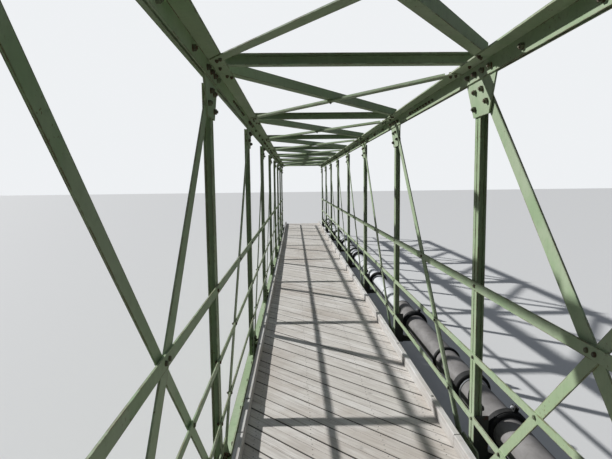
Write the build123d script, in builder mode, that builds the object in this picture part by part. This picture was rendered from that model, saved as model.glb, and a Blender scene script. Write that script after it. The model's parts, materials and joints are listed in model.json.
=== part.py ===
"""One span of a riveted and bolted steel through-truss footbridge, for pedestrians and cycles.

The bridge runs along Y, its trusses stand to the left (-X) and right (+X), and Z is up.
The origin is at mid-span, on the level of the bearings' undersides, under the middle of
the overall width, so the walkway's centreline lies at bridge_x. All lengths are in millimetres.
"""

import os
from math import atan2, cos, degrees, sin, tan

from build123d import *

os.makedirs("parts", exist_ok=True)

# Trusses: bays between verticals, overall height, and where the deck faces of the verticals stand
bay_length = 2500
bay_count = 15
truss_height = 2860
face_offset = 836.5
chord_overhang = 150

# Chords: two equal angles back to back, with the gusset plates between them
chord_leg = 100
chord_thickness = 10
gusset_thickness = 10
stitch_length = 60
stitch_height = 80

# Where the centre lines of diagonal and vertical meet, measured in from the chords' outer faces
top_working_depth = 70
bottom_working_depth = 70

# Verticals: two channels back to back, webs across the bridge
vertical_depth = 50
vertical_flange = 38
vertical_web = 5
vertical_flange_thickness = 7
vertical_gap = 10
member_clearance = 8

# Diagonals: flat bars against the gussets, and the narrower counter bar that crosses one of them
diagonal_width = 90
diagonal_thickness = 8
counter_width = 60
cleat_length = 110

# Gusset plates: reach along the chord and depth, at the chord's edge and at the narrow end
gusset_edge_margin = 5
gusset_plain_reach = 180
gusset_plain_tip = 50
top_gusset_reach = 285
top_gusset_tip = 190
top_gusset_depth = 325
bottom_gusset_reach = 330
bottom_gusset_tip = 130
bottom_gusset_depth = 388

# Rails: flat bars on the deck side, heights of their centres above the deck
rail_thickness = 8
handrail_height = 58
lower_rail_height = 44
handrail_level = 1055
middle_rail_level = 580
lower_rail_level = 160

# Bracing in the roof
strut_height = 70
strut_flange = 60
strut_thickness = 6
top_lateral_leg = 70
lower_lateral_upright = 35
top_lateral_thickness = 7
top_lateral_end = 200
lateral_clearance = 5
lateral_end_offset = 775

# Floor
deck_above_chord = 403
deck_thickness = 50
deck_half_width = 735
kerb_width = 50
kerb_height = 90
stringer_height = 100
stringer_flange = 50
stringer_thickness = 6
stringer_offsets = (240, 620)
floor_beam_height = 120
floor_beam_flange = 64
floor_beam_web = 5
floor_beam_thickness = 6.5
end_plate_width = 90
end_plate_thickness = 10
bottom_lateral_leg = 60
bottom_lateral_thickness = 6
bottom_lateral_end = 260

# Bearings
base_plate_length = 300
base_plate_width = 340
base_plate_thickness = 20
pad_length = 220
pad_width = 200
pad_thickness = 40
sole_plate_length = 260
sole_plate_width = 250
sole_plate_thickness = 20
anchor_spacing_along = 240
anchor_spacing_across = 290
anchor_hole_radius = 11

# Pipe carried outside the right-hand truss
pipe_offset = 1080
pipe_above_deck = 55
pipe_radius = 109.5
pipe_wall = 8
band_length = 86
band_thickness = 38
coupling_length = 700
coupling_past_vertical = 960
coupling_every = 3
near_collar_length = 85
near_collar_thickness = 36
far_collar_length = 40
far_collar_thickness = 18
bracket_leg = 60
bracket_thickness = 6
arm_past_pipe = 60
upper_arm_thickness = 8
upper_arm_rise = 130
ring_sides = 16

# Levels and places that follow from these
chord_bottom = base_plate_thickness + pad_thickness + sole_plate_thickness
chord_top = chord_bottom + truss_height
deck_top = chord_bottom + deck_above_chord
deck_bottom = deck_top - deck_thickness
floor_beam_top = deck_bottom - stringer_height
half_span = bay_length * bay_count / 2
half_length = half_span + chord_overhang
gusset_middle = face_offset - gusset_thickness / 2
gusset_inner = face_offset - gusset_thickness
vertical_half_width = vertical_gap / 2 + vertical_flange
band_radius = pipe_radius + band_thickness
pipe_level = deck_top + pipe_above_deck
bridge_x = (gusset_middle + base_plate_width / 2 - pipe_offset - band_radius) / 2
stations = [bay_length * number - half_span for number in range(bay_count + 1)]
centre_bay = bay_count // 2
sides = {"left": -1, "right": 1}


def across(side, offset):
    """X of a point that lies offset away from the walkway's centreline, to one side."""
    return bridge_x + side * offset


def outward_half(station):
    """Which way leads from mid-span to this vertical: 1 for the far half, -1 for the near one."""
    return 1 if station > 0 else -1


def angle_bar(start, end, flat_way, out_way, flat_leg, out_leg, thickness):
    """An angle from start to end: its heel follows the line, its legs point flat_way and out_way."""
    run = Vector(end) - Vector(start)
    plane = Plane(origin=start, x_dir=flat_way, z_dir=run)
    turn = 1 if plane.y_dir.dot(Vector(out_way)) > 0 else -1
    with BuildPart() as bar:
        with BuildSketch(plane):
            with BuildLine():
                Polyline(
                    (0, 0),
                    (flat_leg, 0),
                    (flat_leg, turn * thickness),
                    (thickness, turn * thickness),
                    (thickness, turn * out_leg),
                    (0, turn * out_leg),
                    close=True,
                )
            make_face()
        extrude(amount=run.length)
    return bar.part


def plate(plane, outline, thickness):
    """A flat plate of the given outline, thickened along the plane's normal."""
    with BuildPart() as made:
        with BuildSketch(plane):
            with BuildLine():
                Polyline(*outline, close=True)
            make_face()
        extrude(amount=thickness)
    return made.part


def save(part, name):
    """Labels a finished piece and writes it."""
    part.label = name
    export_step(part, f"parts/{name}.step")


def chord_angle(side, towards, level, up):
    """One angle of a chord: its horizontal leg points towards the deck (-1) or away (1)."""
    heel = gusset_middle + towards * gusset_thickness / 2
    return angle_bar(
        (across(side, heel), -half_length, level),
        (across(side, heel), half_length, level),
        (side * towards, 0, 0),
        (0, 0, up),
        chord_leg,
        chord_leg,
        chord_thickness,
    )


# Chords
for name, side in sides.items():
    with BuildPart() as top_chord:
        for towards in (-1, 1):
            add(chord_angle(side, towards, chord_top, -1))
    save(top_chord.part, f"top_chord_{name}")

    with BuildPart() as bottom_chord:
        for towards in (-1, 1):
            add(chord_angle(side, towards, chord_bottom, 1))
    save(bottom_chord.part, f"bottom_chord_{name}")

# Stitch plates that hold each chord's two angles together at the middle of every bay
stitch_inset = chord_thickness + stitch_height / 2
stitch_places = [
    (across(side, gusset_middle), station + bay_length / 2, level)
    for side in sides.values()
    for station in stations[:-1]
    for level in (chord_top - stitch_inset, chord_bottom + stitch_inset)
]
with BuildPart() as stitch_plates:
    with Locations(*stitch_places):
        Box(gusset_thickness, stitch_length, stitch_height)
save(stitch_plates.part, "stitch_plates")


def vertical_pair():
    """Two channels back to back, standing on their own base level, deck faces at X = 0."""
    height = truss_height - 2 * (chord_leg + member_clearance)
    flange_middle = (vertical_gap + vertical_flange) / 2
    hollow = vertical_flange - vertical_web
    hollow_middle = vertical_half_width - hollow / 2
    with BuildPart() as pair:
        with BuildSketch():
            with Locations((vertical_depth / 2, flange_middle), (vertical_depth / 2, -flange_middle)):
                Rectangle(vertical_depth, vertical_flange)
            with Locations((vertical_depth / 2, hollow_middle), (vertical_depth / 2, -hollow_middle)):
                Rectangle(vertical_depth - 2 * vertical_flange_thickness, hollow, mode=Mode.SUBTRACT)
        extrude(amount=height)
    return pair.part


# Verticals, and the end posts of the same section
post = vertical_pair()
post_foot = chord_bottom + chord_leg + member_clearance
for name, side in sides.items():
    turn = 0 if side > 0 else 180
    face_x = across(side, face_offset)
    with BuildPart() as verticals:
        for station in stations[1:-1]:
            with Locations(Location((face_x, station, post_foot), (0, 0, turn))):
                add(post)
    save(verticals.part, f"verticals_{name}")

    with BuildPart() as end_posts:
        for station in (stations[0], stations[-1]):
            with Locations(Location((face_x, station, post_foot), (0, 0, turn))):
                add(post)
    save(end_posts.part, f"end_posts_{name}")

# Diagonals: their slope, and the levels at which their centre lines meet those of the verticals
working_top = chord_top - top_working_depth
working_bottom = chord_bottom + bottom_working_depth
slope = atan2(working_top - working_bottom, bay_length)
post_clear = vertical_half_width + member_clearance


def bar_end(station, way, level, up, width, working_depth):
    """The three corners of a diagonal's end, cut to clear the post and the chord's leg.

    The first lies on the edge that runs out to the post, the last on the one that meets the chord.
    """
    upright_half = width / 2 / cos(slope)
    drop = chord_leg + member_clearance - working_depth
    corners = [
        (post_clear, post_clear * tan(slope) + upright_half),
        (post_clear, drop),
        ((upright_half + drop) / tan(slope), drop),
    ]
    return [(station + way * out, level + up * down) for out, down in corners]


def diagonal(side, low_station, high_station, width, stand_off=0):
    """A flat bar between two verticals, stand_off away from the gussets' outer faces."""
    way = 1 if high_station > low_station else -1
    foot = bar_end(low_station, way, working_bottom, 1, width, bottom_working_depth)
    head = bar_end(high_station, -way, working_top, -1, width, top_working_depth)
    outline = [foot[0], head[2], head[1], head[0], foot[2], foot[1]]
    face = Plane(origin=(across(side, face_offset + stand_off), 0, 0), x_dir=(0, 1, 0), z_dir=(1, 0, 0))
    return plate(face, outline, side * diagonal_thickness)


for name, side in sides.items():
    with BuildPart() as diagonals:
        for number in range(bay_count):
            near, far = stations[number], stations[number + 1]
            if number < centre_bay:
                add(diagonal(side, far, near, diagonal_width))
            elif number > centre_bay:
                add(diagonal(side, near, far, diagonal_width))
    save(diagonals.part, f"diagonals_{name}")

# Crossed diagonals of the middle bay: one is packed off its gussets, so that it passes outside
# the other. The trusses are alike but turned half round, so each has a different one outside.
cross_near, cross_far = stations[centre_bay], stations[centre_bay + 1]
for name, side in sides.items():
    main_off, counter_off = (diagonal_thickness, 0) if side > 0 else (0, diagonal_thickness)
    with BuildPart() as cross_diagonals:
        add(diagonal(side, cross_near, cross_far, diagonal_width, main_off))
        add(diagonal(side, cross_far, cross_near, counter_width, counter_off))
    save(cross_diagonals.part, f"cross_diagonals_{name}")

    outer_width = diagonal_width if main_off else counter_width
    outer_low, outer_high = (cross_near, cross_far) if main_off else (cross_far, cross_near)
    way = 1 if outer_high > outer_low else -1
    lean = Vector(0, way * cos(slope), sin(slope))
    square_from = (post_clear + outer_width / 2 * sin(slope)) / cos(slope)
    low_point = Vector(across(side, face_offset), outer_low, working_bottom)
    high_point = Vector(across(side, face_offset), outer_high, working_top)
    cleat_places = [
        low_point + lean * (square_from + cleat_length / 2),
        high_point - lean * (square_from + cleat_length / 2),
    ]
    with BuildPart() as crossing_cleats:
        for place in cleat_places:
            with BuildSketch(Plane(origin=place, x_dir=lean, z_dir=(side, 0, 0))):
                Rectangle(cleat_length, outer_width)
        extrude(amount=diagonal_thickness)
    save(crossing_cleats.part, f"crossing_cleats_{name}")


def gusset(side, station, level, up, reach, tip, depth, heading, plain_reach, plain_tip):
    """A gusset plate at one vertical: it widens along the chord on the side that heading gives."""
    outline = [
        (station - heading * plain_reach, level + up * gusset_edge_margin),
        (station - heading * plain_reach, level + up * chord_leg),
        (station - heading * plain_tip, level + up * depth),
        (station + heading * tip, level + up * depth),
        (station + heading * reach, level + up * chord_leg),
        (station + heading * reach, level + up * gusset_edge_margin),
    ]
    start = across(side, gusset_middle) - gusset_thickness / 2
    face = Plane(origin=(start, 0, 0), x_dir=(0, 1, 0), z_dir=(1, 0, 0))
    return plate(face, outline, gusset_thickness)


# Gusset plates between the chord's angles, one at each end of every vertical
bottom_shape = (bottom_gusset_reach, bottom_gusset_tip, bottom_gusset_depth)
top_shape = (top_gusset_reach, top_gusset_tip, top_gusset_depth)
end_reach = chord_overhang - gusset_edge_margin
for name, side in sides.items():
    with BuildPart() as top_gussets:
        for station in stations:
            at_end = abs(station) == half_span
            plain_reach = end_reach if at_end else gusset_plain_reach
            inwards = -outward_half(station)
            add(gusset(side, station, chord_top, -1, *top_shape, inwards, plain_reach, gusset_plain_tip))
    save(top_gussets.part, f"top_gussets_{name}")

    with BuildPart() as bottom_gussets:
        for station in stations:
            away = outward_half(station)
            if abs(station) == half_span:
                shape = (end_reach, gusset_plain_tip, bottom_gusset_depth)
                plain = (gusset_plain_reach, gusset_plain_tip)
            elif station in (cross_near, cross_far):
                shape = bottom_shape
                plain = (bottom_gusset_reach, bottom_gusset_tip)
            else:
                shape = bottom_shape
                plain = (gusset_plain_reach, gusset_plain_tip)
            add(gusset(side, station, chord_bottom, 1, *shape, away, *plain))
    save(bottom_gussets.part, f"bottom_gussets_{name}")

# Rails, bolted flat to the deck faces of the verticals and diagonals
rail_length = 2 * (half_span + vertical_half_width)
rails = {
    "handrail": (handrail_level, handrail_height),
    "middle_rail": (middle_rail_level, lower_rail_height),
    "lower_rail": (lower_rail_level, lower_rail_height),
}
for name, side in sides.items():
    rail_x = across(side, face_offset - rail_thickness / 2)
    for rail_name, (level, height) in rails.items():
        with BuildPart() as rail:
            with Locations((rail_x, 0, deck_top + level)):
                Box(rail_thickness, rail_length, height)
        save(rail.part, f"{rail_name}_{name}")


def channel_bar(plane, depth, flange, thickness, length):
    """A channel along the plane's normal: it stands on the plane's x axis and opens towards -x."""
    corner = (Align.MIN, Align.MIN)
    with BuildPart() as bar:
        with BuildSketch(plane):
            Rectangle(flange, depth, align=corner)
            with Locations((0, thickness)):
                Rectangle(flange - thickness, depth - 2 * thickness, align=corner, mode=Mode.SUBTRACT)
        extrude(amount=length)
    return bar.part


# Roof struts, one across the chords at every vertical
strut_end = face_offset + chord_leg
with BuildPart() as top_struts:
    for station in stations:
        corner = (across(-1, strut_end), station - strut_flange / 2, chord_top)
        strut_plane = Plane(origin=corner, x_dir=(0, 1, 0), z_dir=(1, 0, 0))
        add(channel_bar(strut_plane, strut_height, strut_flange, strut_thickness, 2 * strut_end))
save(top_struts.part, "top_struts")


def lateral(near, from_side, end_gap, level, up, flat_leg, upright_leg, thickness, leg_edge=1):
    """A bracing angle across one bay, flat against the chords, starting on from_side.

    Its upright leg stands on the edge towards the bay's near end, or on the other for leg_edge -1.
    """
    start = Vector(across(from_side, lateral_end_offset), near + end_gap, level)
    end = Vector(across(-from_side, lateral_end_offset), near + bay_length - end_gap, level)
    along = (end - start).normalized()
    edge = Vector(-from_side * along.Y, from_side * along.X, 0) * leg_edge
    heel_shift = edge * (flat_leg / 2)
    legs = (flat_leg, upright_leg, thickness)
    return angle_bar(start + heel_shift, end + heel_shift, -edge, (0, 0, up), *legs)


# Cross bracing of the floor: one angle of each pair lies above the chord's leg, one below
bottom_size = (bottom_lateral_leg, bottom_lateral_leg, bottom_lateral_thickness)
for layer, level, up, from_side in (
    ("upper", chord_bottom + chord_thickness, 1, -1),
    ("lower", chord_bottom, -1, 1),
):
    with BuildPart() as laterals:
        for near in stations[:-1]:
            add(lateral(near, from_side, bottom_lateral_end, level, up, *bottom_size))
    save(laterals.part, f"bottom_laterals_{layer}")

# Cross bracing of the roof: both angles' legs stand up, and those below the chord's leg have
# theirs cut away beside the chords and where the upper angles cross them
with BuildPart() as upper_laterals:
    for near in stations[:-1]:
        size = (top_lateral_leg, top_lateral_leg, top_lateral_thickness)
        add(lateral(near, -1, top_lateral_end, chord_top, 1, *size))
save(upper_laterals.part, "top_laterals_upper")

lower_face = chord_top - chord_thickness - top_lateral_thickness
notch_height = lower_lateral_upright
notch_middle = lower_face + top_lateral_thickness + notch_height / 2
notch_across = top_lateral_leg + 2 * lateral_clearance
bracing_turn = degrees(atan2(bay_length - 2 * top_lateral_end, 2 * lateral_end_offset))
end_notch = 2 * (lateral_end_offset - gusset_inner + chord_leg + lateral_clearance)
with BuildPart() as lower_laterals:
    for near in stations[:-1]:
        size = (top_lateral_leg, lower_lateral_upright, top_lateral_thickness)
        add(lateral(near, 1, top_lateral_end, lower_face, 1, *size, leg_edge=-1))
    for near in stations[:-1]:
        with Locations(Location((bridge_x, near + bay_length / 2, notch_middle), (0, 0, bracing_turn))):
            Box(bay_length / 4, notch_across, notch_height, mode=Mode.SUBTRACT)
    with Locations(*[(across(side, lateral_end_offset), 0, notch_middle) for side in sides.values()]):
        Box(end_notch, 2 * half_length, notch_height, mode=Mode.SUBTRACT)
save(lower_laterals.part, "top_laterals_lower")

# Packing plates where the bracing angles cross
packer_places = [
    (bridge_x, near + bay_length / 2, level)
    for near in stations[:-1]
    for level in (chord_top - chord_thickness / 2, chord_bottom + chord_thickness / 2)
]
with BuildPart() as bracing_packers:
    with Locations(*packer_places):
        Box(bottom_lateral_leg, bottom_lateral_leg, chord_thickness)
save(bracing_packers.part, "bracing_packers")

# Floor beams with end plates against the gussets, and the stringers that lie on them
beam_length = 2 * (gusset_inner - end_plate_thickness)
beam_middle = floor_beam_top - floor_beam_height / 2
with BuildPart() as floor_beam:
    start = Plane(origin=(-beam_length / 2, 0, 0), x_dir=(0, 1, 0), z_dir=(1, 0, 0))
    with BuildSketch(start):
        Rectangle(floor_beam_flange, floor_beam_height)
        pocket = (floor_beam_flange - floor_beam_web) / 2
        pocket_middle = (floor_beam_web + pocket) / 2
        with Locations((pocket_middle, 0), (-pocket_middle, 0)):
            Rectangle(pocket, floor_beam_height - 2 * floor_beam_thickness, mode=Mode.SUBTRACT)
    extrude(amount=beam_length)
    plate_middle = gusset_inner - end_plate_thickness / 2
    with Locations((-plate_middle, 0, 0), (plate_middle, 0, 0)):
        Box(end_plate_thickness, end_plate_width, floor_beam_height)
with BuildPart() as floor_beams:
    with Locations(*[(bridge_x, station, beam_middle) for station in stations]):
        add(floor_beam.part)
save(floor_beams.part, "floor_beams")

with BuildPart() as stringers:
    for side in sides.values():
        for offset in stringer_offsets:
            corner = (across(side, offset) - stringer_flange / 2, half_length, floor_beam_top)
            stringer_plane = Plane(origin=corner, x_dir=(1, 0, 0), z_dir=(0, -1, 0))
            size = (stringer_height, stringer_flange, stringer_thickness, 2 * half_length)
            add(channel_bar(stringer_plane, *size))
save(stringers.part, "stringers")

# Timber deck and its kerbs
with BuildPart() as deck:
    with Locations((bridge_x, 0, deck_top - deck_thickness / 2)):
        Box(2 * deck_half_width, 2 * half_length, deck_thickness)
save(deck.part, "deck")

for name, side in sides.items():
    with BuildPart() as kerb:
        with Locations((across(side, deck_half_width - kerb_width / 2), 0, deck_top + kerb_height / 2)):
            Box(kerb_width, 2 * half_length, kerb_height)
    save(kerb.part, f"kerb_{name}")

# Bearings under the ends of both trusses: anchored base plate, rubber pad, sole plate
bearing_places = [
    (across(side, gusset_middle), end) for side in sides.values() for end in (-half_span, half_span)
]
with BuildPart() as bearing_base_plates:
    with BuildSketch():
        with Locations(*bearing_places):
            Rectangle(base_plate_width, base_plate_length)
            with GridLocations(anchor_spacing_across, anchor_spacing_along, 2, 2):
                Circle(anchor_hole_radius, mode=Mode.SUBTRACT)
    extrude(amount=base_plate_thickness)
save(bearing_base_plates.part, "bearing_base_plates")

with BuildPart() as bearing_pads:
    with BuildSketch(Plane.XY.offset(base_plate_thickness)):
        with Locations(*bearing_places):
            Rectangle(pad_width, pad_length)
    extrude(amount=pad_thickness)
save(bearing_pads.part, "bearing_pads")

with BuildPart() as bearing_sole_plates:
    with BuildSketch(Plane.XY.offset(base_plate_thickness + pad_thickness)):
        with Locations(*bearing_places):
            Rectangle(sole_plate_width, sole_plate_length)
    extrude(amount=sole_plate_thickness)
save(bearing_sole_plates.part, "bearing_sole_plates")


def pipe_plane(y):
    """A plane across the pipe's axis, whose normal points along the bridge."""
    return Plane(origin=(across(1, pipe_offset), y, pipe_level), x_dir=(1, 0, 0), z_dir=(0, 1, 0))


def ring(start_y, thickness, length):
    """A ring round the pipe, with few sides, as there are many rings: they touch the true circles."""
    sides_and_turn = {"side_count": ring_sides, "major_radius": False, "rotation": 180 / ring_sides}
    with BuildPart() as made:
        with BuildSketch(pipe_plane(start_y)):
            RegularPolygon(pipe_radius + thickness, **sides_and_turn)
            RegularPolygon(pipe_radius, **sides_and_turn, mode=Mode.SUBTRACT)
        extrude(amount=length)
    return made.part


# Pipe, the rubber bands it lies in at every vertical, and its couplings with a collar at each end
with BuildPart() as pipe:
    with BuildSketch(pipe_plane(-half_length)):
        Circle(pipe_radius)
        Circle(pipe_radius - pipe_wall, mode=Mode.SUBTRACT)
    extrude(amount=2 * half_length)
save(pipe.part, "pipe")

with BuildPart() as pipe_bands:
    for station in stations:
        add(ring(station - band_length / 2, band_thickness, band_length))
save(pipe_bands.part, "pipe_bands")

with BuildPart() as pipe_couplings:
    for number, station in enumerate(stations[:-1]):
        if (number - centre_bay - 1) % coupling_every == 0:
            start = station + coupling_past_vertical - coupling_length / 2
            add(ring(start, near_collar_thickness, near_collar_length))
            far_start = start + coupling_length - far_collar_length
            add(ring(far_start, far_collar_thickness, far_collar_length))
save(pipe_couplings.part, "pipe_couplings")

# Brackets: a plate on each vertical's outer flange and, below the band, an arm that carries it
bracket_foot = face_offset + vertical_depth
bracket_half_height = band_radius + bracket_leg
bracket_size = (bracket_thickness, 2 * vertical_half_width, 2 * bracket_half_height)
with BuildPart() as pipe_bracket_plates:
    with Locations(*[(across(1, bracket_foot + bracket_thickness / 2), s, pipe_level) for s in stations]):
        Box(*bracket_size)
save(pipe_bracket_plates.part, "pipe_bracket_plates")

arm_start = bracket_foot + bracket_thickness
arm_level = pipe_level - band_radius
with BuildPart() as lower_arms:
    for station in stations:
        heel_y = station - bracket_leg / 2
        ends = [(across(1, x), heel_y, arm_level) for x in (arm_start, pipe_offset + arm_past_pipe)]
        add(angle_bar(*ends, (0, 1, 0), (0, 0, -1), bracket_leg, bracket_leg, bracket_thickness))
save(lower_arms.part, "pipe_lower_arms")

# Upper arms: plates on the near sides of the verticals, which reach out to the sides of the bands
upper_arm_reach = pipe_offset - band_radius - face_offset
upper_arm_height = bracket_half_height + upper_arm_rise
upper_arm_x = across(1, face_offset + upper_arm_reach / 2)
upper_arm_middle = pipe_level + upper_arm_rise - upper_arm_height / 2
with BuildPart() as upper_arms:
    for station in stations:
        near_side = station - vertical_half_width - upper_arm_thickness / 2
        with Locations((upper_arm_x, near_side, upper_arm_middle)):
            Box(upper_arm_reach, upper_arm_thickness, upper_arm_height)
save(upper_arms.part, "pipe_upper_arms")
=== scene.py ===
"""Looks of the through-truss footbridge: paint, timber, bolts, light and camera."""

import json
import math
import random

import bpy
from mathutils import Matrix, Vector


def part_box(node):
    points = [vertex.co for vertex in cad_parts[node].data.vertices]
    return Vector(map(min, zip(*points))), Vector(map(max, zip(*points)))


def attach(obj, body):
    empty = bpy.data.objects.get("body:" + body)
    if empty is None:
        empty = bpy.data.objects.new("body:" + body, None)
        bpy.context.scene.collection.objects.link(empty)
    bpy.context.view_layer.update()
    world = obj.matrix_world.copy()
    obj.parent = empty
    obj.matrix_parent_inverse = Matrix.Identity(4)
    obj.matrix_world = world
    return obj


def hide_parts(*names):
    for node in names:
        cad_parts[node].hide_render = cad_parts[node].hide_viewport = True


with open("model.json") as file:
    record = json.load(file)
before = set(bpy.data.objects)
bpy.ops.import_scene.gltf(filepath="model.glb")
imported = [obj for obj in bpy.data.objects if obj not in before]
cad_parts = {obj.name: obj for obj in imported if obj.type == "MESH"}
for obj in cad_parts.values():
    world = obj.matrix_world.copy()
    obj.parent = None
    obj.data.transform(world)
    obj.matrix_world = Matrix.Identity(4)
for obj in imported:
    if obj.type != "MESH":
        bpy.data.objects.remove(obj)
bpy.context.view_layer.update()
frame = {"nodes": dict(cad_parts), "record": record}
nodes = frame["nodes"]

# Where things are, read from the frame, in metres
deck_low, deck_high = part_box("deck")
DECK_TOP = deck_high.z
DECK_HALF = (deck_high.x - deck_low.x) / 2
BRIDGE_X = (deck_high.x + deck_low.x) / 2
BRIDGE_END = deck_high.y
rail_low, rail_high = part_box("handrail_right")
FACE = rail_high.x - BRIDGE_X
RAIL_THICKNESS = rail_high.x - rail_low.x
chord_low, chord_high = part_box("top_chord_right")
CHORD_LEG = chord_high.z - chord_low.z
CHORD_TOP = chord_high.z
CHORD_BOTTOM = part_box("bottom_chord_right")[0].z
gusset_low, gusset_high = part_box("bottom_gussets_right")
GUSSET_FACE = gusset_high.x - BRIDGE_X
GUSSET_THICKNESS = GUSSET_FACE - (gusset_low.x - BRIDGE_X)
VERTICAL_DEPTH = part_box("verticals_right")[1].x - BRIDGE_X - FACE
pipe_low, pipe_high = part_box("pipe")
PIPE_X = (pipe_low.x + pipe_high.x) / 2
PIPE_Z = (pipe_low.z + pipe_high.z) / 2
PIPE_RADIUS = (pipe_high.x - pipe_low.x) / 2
PIPE_END = pipe_high.y

# The truss's bays and its two sides
BAY = 2.5
BAYS = round(2 * BRIDGE_END / BAY)
CENTRE = BAYS // 2
HALF_SPAN = BAY * BAYS / 2
STATIONS = [BAY * number - HALF_SPAN for number in range(BAYS + 1)]
SIDES = {"left": -1, "right": 1}

# The photograph's camera, in the 612 by 459 frame
IMAGE_WIDTH = 612
FOCAL_PIXELS = 480
CAMERA_OFFSET = -0.3288
CAMERA_STATION = -1.808
EYE_HEIGHT = 1.732
CAMERA_YAW = math.radians(1.32)
CAMERA_PITCH = math.radians(-5.52)
CAMERA_ROLL = math.radians(0.68)
SENSOR_WIDTH = 36.0

# Colours, linear
PAINT = (0.36, 0.46, 0.28)
PAINT_FADED = (0.47, 0.54, 0.39)
PAINT_FRESH = (0.27, 0.42, 0.21)
PAINT_GRIMY = (0.19, 0.24, 0.15)
RUST = (0.13, 0.055, 0.025)
# Bolts and nuts are darkened towards this colour: partly rusty grime, partly painted shade
BOLT_GRIME_AND_SHADE = (0.065, 0.055, 0.038)
DIRT = (0.10, 0.09, 0.065)
BOARD = (0.70, 0.66, 0.605)
BOARD_PALE = (0.84, 0.805, 0.76)
BOARD_DARK = (0.43, 0.39, 0.345)
BOARD_STAIN = (0.20, 0.185, 0.16)
BOARD_EDGE = (0.10, 0.09, 0.075)
BOARD_BROWN = (0.46, 0.385, 0.32)
KERB = (0.64, 0.63, 0.61)
KERB_PALE = (0.78, 0.77, 0.75)
PIPE_GREY = (0.175, 0.165, 0.16)
PIPE_PALE = (0.29, 0.275, 0.265)
JACKET = (0.76, 0.77, 0.79)
JACKET_DULL = (0.60, 0.60, 0.62)
RUBBER = (0.018, 0.018, 0.018)
RUBBER_DUSTY = (0.06, 0.058, 0.052)
BRACKET = (0.07, 0.075, 0.065)
BRACKET_WORN = (0.11, 0.11, 0.09)
BEARING = (0.20, 0.19, 0.17)
BEARING_WORN = (0.27, 0.25, 0.22)
FLOOR = (0.74, 0.74, 0.73)
FLOOR_SPECKLE = (0.68, 0.68, 0.67)
FLOOR_BOUNCE = (0.05, 0.055, 0.05)
WHITE = (1, 1, 1)

# How wide chipped paint runs along an edge, and how far the surface turns there
EDGE_WEAR = 0.009
EDGE_TURN = (0.02, 0.16)
# Boards lie on one diagonal, and so does their grain
BOARD_TURN = math.radians(45)
# Past this joint the pipe has a newer, paler jacket, and so has a piece with the bright tone
NEW_JACKET_FROM = 4.40
JACKET_JOINT_BLUR = 0.002
BRIGHT_TONE = 1.0
BRIGHT_TONES = (0.8, 0.9)


class Signal:
    """One output of a node, which takes part in arithmetic as a number does."""

    def __init__(self, graph, socket):
        self.graph = graph
        self.socket = socket

    def math(self, operation, *others):
        """One of the Math node's operations on this output and the others."""
        inputs = dict(enumerate((self, *others)))
        return self.graph.node("ShaderNodeMath", {"operation": operation}, inputs)

    def __add__(self, other):
        return self.math("ADD", other)

    __radd__ = __add__

    def __sub__(self, other):
        return self.math("SUBTRACT", other)

    def __rsub__(self, other):
        return self.graph.node("ShaderNodeMath", {"operation": "SUBTRACT"}, {0: other, 1: self})

    def __mul__(self, other):
        return self.math("MULTIPLY", other)

    __rmul__ = __mul__

    def step(self, low, high):
        """0 below low, 1 above high and smooth between them."""
        settings = {"interpolation_type": "SMOOTHSTEP"}
        inputs = {"Value": self, "From Min": low, "From Max": high}
        return self.graph.node("ShaderNodeMapRange", settings, inputs)


class Graph:
    """The nodes of one material or of the world."""

    def __init__(self, tree):
        self.tree = tree

    def connect(self, target, value):
        """Links a node's output to a socket, or sets the socket to a plain value."""
        if isinstance(value, Signal):
            self.tree.links.new(value.socket, target)
        else:
            target.default_value = value

    def node(self, kind, settings=None, inputs=None, output=0):
        """Adds a node, sets it up, feeds its inputs and returns one of its outputs."""
        made = self.tree.nodes.new(kind)
        for name, value in (settings or {}).items():
            setattr(made, name, value)
        for name, value in (inputs or {}).items():
            self.connect(made.inputs[name], value)
        return Signal(self, made.outputs[output])


class Finish(Graph):
    """One procedural material, built up through its Principled shader."""

    def __init__(self, name, **constants):
        self.material = bpy.data.materials.new(name)
        self.material.use_nodes = True
        super().__init__(self.material.node_tree)
        self.shader = self.tree.nodes["Principled BSDF"]
        self.feed(**constants)

    def feed(self, **values):
        """Feeds sockets of the shader, whose names are written with underscores."""
        for socket, value in values.items():
            self.connect(self.shader.inputs[socket.replace("_", " ")], value)

    def place(self):
        """Where a point lies on its object."""
        return self.node("ShaderNodeTexCoord", output="Object")

    def stretch(self, vector, scale, turn=0.0):
        """Draws a pattern out along its own axes by scale, after a turn about the vertical."""
        inputs = {"Vector": vector, "Rotation": (0, 0, turn), "Scale": scale}
        return self.node("ShaderNodeMapping", {"vector_type": "TEXTURE"}, inputs)

    def noise(self, vector, scale, detail=4.0, roughness=0.55):
        """Soft noise with about scale blots to the metre."""
        inputs = {"Vector": vector, "Scale": scale, "Detail": detail, "Roughness": roughness}
        return self.node("ShaderNodeTexNoise", {"noise_dimensions": "3D"}, inputs)

    def edges(self, width):
        """1 along sharp outer edges and 0 on flat faces."""
        rounded = self.node("ShaderNodeBevel", {"samples": 6}, {"Radius": width})
        flat = self.node("ShaderNodeNewGeometry", output="Normal")
        settings = {"operation": "DOT_PRODUCT"}
        alike = self.node("ShaderNodeVectorMath", settings, {0: rounded, 1: flat}, "Value")
        return (1 - alike).step(*EDGE_TURN)

    def attribute(self, name):
        """A value kept on the mesh's points, or 0 on a mesh without it."""
        return self.node("ShaderNodeAttribute", {"attribute_name": name}, output="Fac")

    def mix(self, factor, first, second):
        """Mixes two colours; a plain colour is given as three numbers."""
        first, second = (c if isinstance(c, Signal) else (*c, 1) for c in (first, second))
        inputs = {0: factor, 6: first, 7: second}
        return self.node("ShaderNodeMix", {"data_type": "RGBA"}, inputs, 2)

    def bump(self, height, strength, distance):
        """Raises the surface a little where height is more."""
        inputs = {"Height": height, "Strength": strength, "Distance": distance}
        self.feed(Normal=self.node("ShaderNodeBump", None, inputs))


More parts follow.
